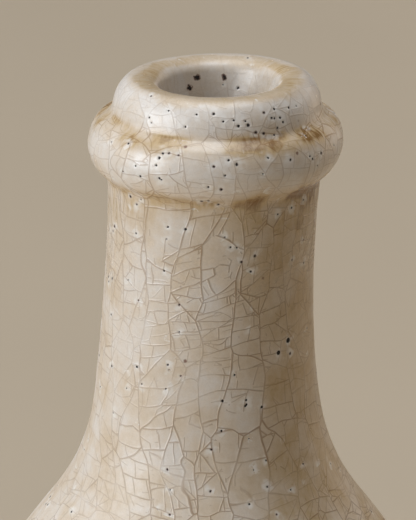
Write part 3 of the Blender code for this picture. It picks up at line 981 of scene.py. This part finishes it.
    torn = addNode(tree, "VectorMath", {
        0: tearsOff, 1: (glaze["tear"],) * 3, 2: point}, operation="MULTIPLY_ADD")
    throat = nearestFlaw(tree, torn, spots)
    throatRim = addNode(tree, "MapRange", {0: throat, 1: -0.1, 2: 0.28, 3: 0.9, 4: 0.0}, **smooth)
    throatPit = addNode(tree, "MapRange", {0: throat, 1: -0.2, 2: 0.05, 3: 1.0, 4: 0.0}, **smooth)
    pit = addNode(tree, "Math", {0: pit, 1: throatPit}, operation="MAXIMUM")
    for mask, shade in ((rusty, "iron"), (rim, "iron"), (throatRim, "iron"), (pit, "pit")):
        color = addNode(tree, "Mix", {0: mask, 6: color, 7: hexColor(glaze[shade])}, data_type="RGBA")

    # relief in mm and gloss
    peel = addNode(tree, "TexNoise", {
        "Vector": point, "W": 8.0, "Scale": 1 / glaze["peelSize"], "Detail": 1.0}, **shifted)
    relief = addNode(tree, "Math", {0: peel, 1: glaze["peelDepth"]}, operation="MULTIPLY")
    relief = addNode(tree, "Math", {0: raised, 1: glaze["crackDepth"], 2: relief}, operation="MULTIPLY_ADD")
    dish = addNode(tree, "MapRange", {
        0: fromEdge, 1: -0.25, 2: 0.35, 3: -glaze["dishDepth"], 4: 0.0}, **smooth)
    relief = addNode(tree, "Math", {0: relief, 1: dish}, operation="ADD")
    satin = addNode(tree, "MapRange", {
        0: height, 1: neckFoot * mm, 2: creaseHeight * mm - 4.0, 3: glaze["satin"], 4: 0.0}, **smooth)
    gloss = addNode(tree, "MapRange", {
        0: fine, 1: 0.2, 2: 0.8, 3: glaze["roughness"] - 0.03, 4: glaze["roughness"] + 0.05}, **smooth)
    gloss = addNode(tree, "Math", {0: gloss, 1: satin}, operation="ADD")
    gloss = addNode(tree, "Math", {0: pit, 1: 0.5, 2: gloss}, operation="MULTIPLY_ADD")

    # the wiped band over the foot
    clayColor, clayDry, clayRelief = clayBody(tree, point)
    wipe = addNode(tree, "MapRange", {0: blotch, 1: 0.25, 2: 0.75, 3: -0.35, 4: 0.35}, **smooth)
    wiped = addNode(tree, "Math", {0: height, 1: wipe}, operation="ADD")
    glazeLine = (footHeight + body["bareBand"]) * mm
    bare = addNode(tree, "MapRange", {0: wiped, 1: glazeLine, 2: glazeLine + 0.35, 3: 1.0, 4: 0.0}, **smooth)
    color = addNode(tree, "Mix", {0: bare, 6: color, 7: clayColor}, data_type="RGBA")
    gloss = addNode(tree, "Mix", {0: bare, 2: gloss, 3: clayDry})
    relief = addNode(tree, "Mix", {0: bare, 2: relief, 3: clayRelief})
    bump = addNode(tree, "Bump", {"Strength": 1.0, "Distance": 1 / mm, "Height": relief})
    shader = addNode(tree, "BsdfPrincipled", {
        "Base Color": color, "Roughness": gloss, "IOR": glaze["ior"], "Normal": bump})
    addNode(tree, "OutputMaterial", {"Surface": shader})
    return material


def bareStoneware():
    material, tree = newMaterial("bareStoneware")
    coords = addNode(tree, "TexCoord", {})
    point = addNode(tree, "VectorMath", {0: coords.outputs["Object"], "Scale": mm}, operation="SCALE")
    color, dry, relief = clayBody(tree, point)
    bump = addNode(tree, "Bump", {"Strength": 1.0, "Distance": 1 / mm, "Height": relief})
    shader = addNode(tree, "BsdfPrincipled", {
        "Base Color": color, "Roughness": dry, "IOR": 1.5, "Specular IOR Level": 0.3, "Normal": bump})
    addNode(tree, "OutputMaterial", {"Surface": shader})
    return material


print("stage: sections")
sections = {}
for node, make in (
    ("lip_ring", lipSection),
    ("collar_ring", collarSection),
    ("neck", neckSection),
    ("upper_body", upperSection),
    ("lower_body", lowerSection),
    ("foot_ring", footSection),
):
    sections[node] = make()
    handShape(sections[node])

print("stage: glaze and clay")
glazeFinish = crackleGlaze(*findFlaws(sections))
clayFinish = bareStoneware()
for node, section in sections.items():
    bare = node == "foot_ring"
    section.data.materials.clear()
    section.data.materials.append(clayFinish if bare else glazeFinish)
    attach(section, "root")
    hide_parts(node)

print("stage: floor and light")

studio = {
    "floor": "#B9AC99",
    "floorSize": 30.0,
    "lampDistance": 1.4,
    # degrees, with minus to the left of the camera; metres; watts
    "lamps": {
        "key": {"azimuth": -61, "elevation": 14, "size": (0.95, 0.85), "watts": 10.8, "color": "#F7FBFF"},
        "side": {"azimuth": -82, "elevation": 18, "size": (1.10, 0.80), "watts": 3.8, "color": "#F7FBFF"},
        "back": {"azimuth": 127, "elevation": 8, "size": (1.00, 0.90), "watts": 2.1, "color": "#FFE3C4"},
    },
    "skyAzimuth": math.radians(-160),   # almost overhead, a little behind
    "skyElevation": math.radians(85),
    "skySpread": math.radians(23),
    "skyBlur": 0.03,                    # of the cosine, at the edge of the glow
    "sky": 4.7,
    "skyGloss": 0.35,                   # share of it that the gloss mirrors
    "backdrop": "#ACA191",
}


def layFloor():
    bpy.ops.object.select_all(action="DESELECT")
    bpy.ops.mesh.primitive_plane_add(size=studio["floorSize"], location=(0, 0, 0))
    floor = bpy.context.object
    floor.name = "floor"
    material, tree = newMaterial("paintedFloor")
    coords = addNode(tree, "TexCoord", {})
    clouds = addNode(tree, "TexNoise", {"Vector": coords.outputs["Object"], "Scale": 6.0, "Detail": 3.0})
    uneven = addNode(tree, "MapRange", {0: clouds, 1: 0.2, 2: 0.8, 3: 0.985, 4: 1.015}, **smooth)
    matt = addNode(tree, "MapRange", {0: clouds, 1: 0.2, 2: 0.8, 3: 0.86, 4: 0.94}, **smooth)
    tone = addNode(tree, "HueSaturation", {"Color": hexColor(studio["floor"]), "Value": uneven})
    shader = addNode(tree, "BsdfPrincipled", {
        "Base Color": tone, "Roughness": matt, "Specular IOR Level": 0.1})
    addNode(tree, "OutputMaterial", {"Surface": shader})
    floor.data.materials.append(material)


def setLamps():
    x, y, z = view["lookAt"]
    far = studio["lampDistance"]
    for name, given in studio["lamps"].items():
        lamp = bpy.data.lights.new(name, "AREA")
        lamp.shape = "RECTANGLE"
        lamp.size, lamp.size_y = given["size"]
        lamp.energy = given["watts"]
        lamp.color = hexColor(given["color"])[:3]
        softbox = bpy.data.objects.new(name, lamp)
        bpy.context.scene.collection.objects.link(softbox)
        az, el = math.radians(given["azimuth"]), math.radians(given["elevation"])
        softbox.location = (
            x + far * math.cos(el) * math.sin(az),
            y - far * math.cos(el) * math.cos(az),
            z + far * math.sin(el),
        )
        softbox.rotation_euler = (math.pi / 2 - el, 0, az)
        softbox.visible_camera = False


def setWorld():
    world = bpy.data.worlds.new("studio")
    world.use_nodes = True
    tree = world.node_tree
    tree.nodes.clear()
    coords = addNode(tree, "TexCoord", {})
    az, el = studio["skyAzimuth"], studio["skyElevation"]
    toward = (math.cos(el) * math.sin(az), -math.cos(el) * math.cos(az), math.sin(el))
    facing = addNode(tree, "VectorMath", {0: coords.outputs["Generated"], 1: toward}, operation="DOT_PRODUCT")
    edge = math.cos(studio["skySpread"])
    glow = addNode(tree, "MapRange", {
        0: facing, 1: edge - studio["skyBlur"], 2: edge + studio["skyBlur"],
        3: 0.0, 4: studio["sky"]}, **smooth)
    path = addNode(tree, "LightPath", {})
    mirrored = addNode(tree, "MapRange", {
        0: path.outputs["Is Glossy Ray"], 1: 0.0, 2: 1.0, 3: 1.0, 4: studio["skyGloss"]})
    strength = addNode(tree, "Math", {0: glow, 1: mirrored}, operation="MULTIPLY")
    lit = addNode(tree, "Background", {"Color": (1.0, 1.0, 1.0, 1.0), "Strength": strength})
    seen = addNode(tree, "Background", {"Color": hexColor(studio["backdrop"]), "Strength": 1.0})
    mixed = addNode(tree, "MixShader", {0: path.outputs["Is Camera Ray"], 1: lit, 2: seen})
    addNode(tree, "OutputWorld", {"Surface": mixed})
    bpy.context.scene.world = world


layFloor()
setLamps()
setWorld()
bpy.context.scene.view_settings.view_transform = "Standard"
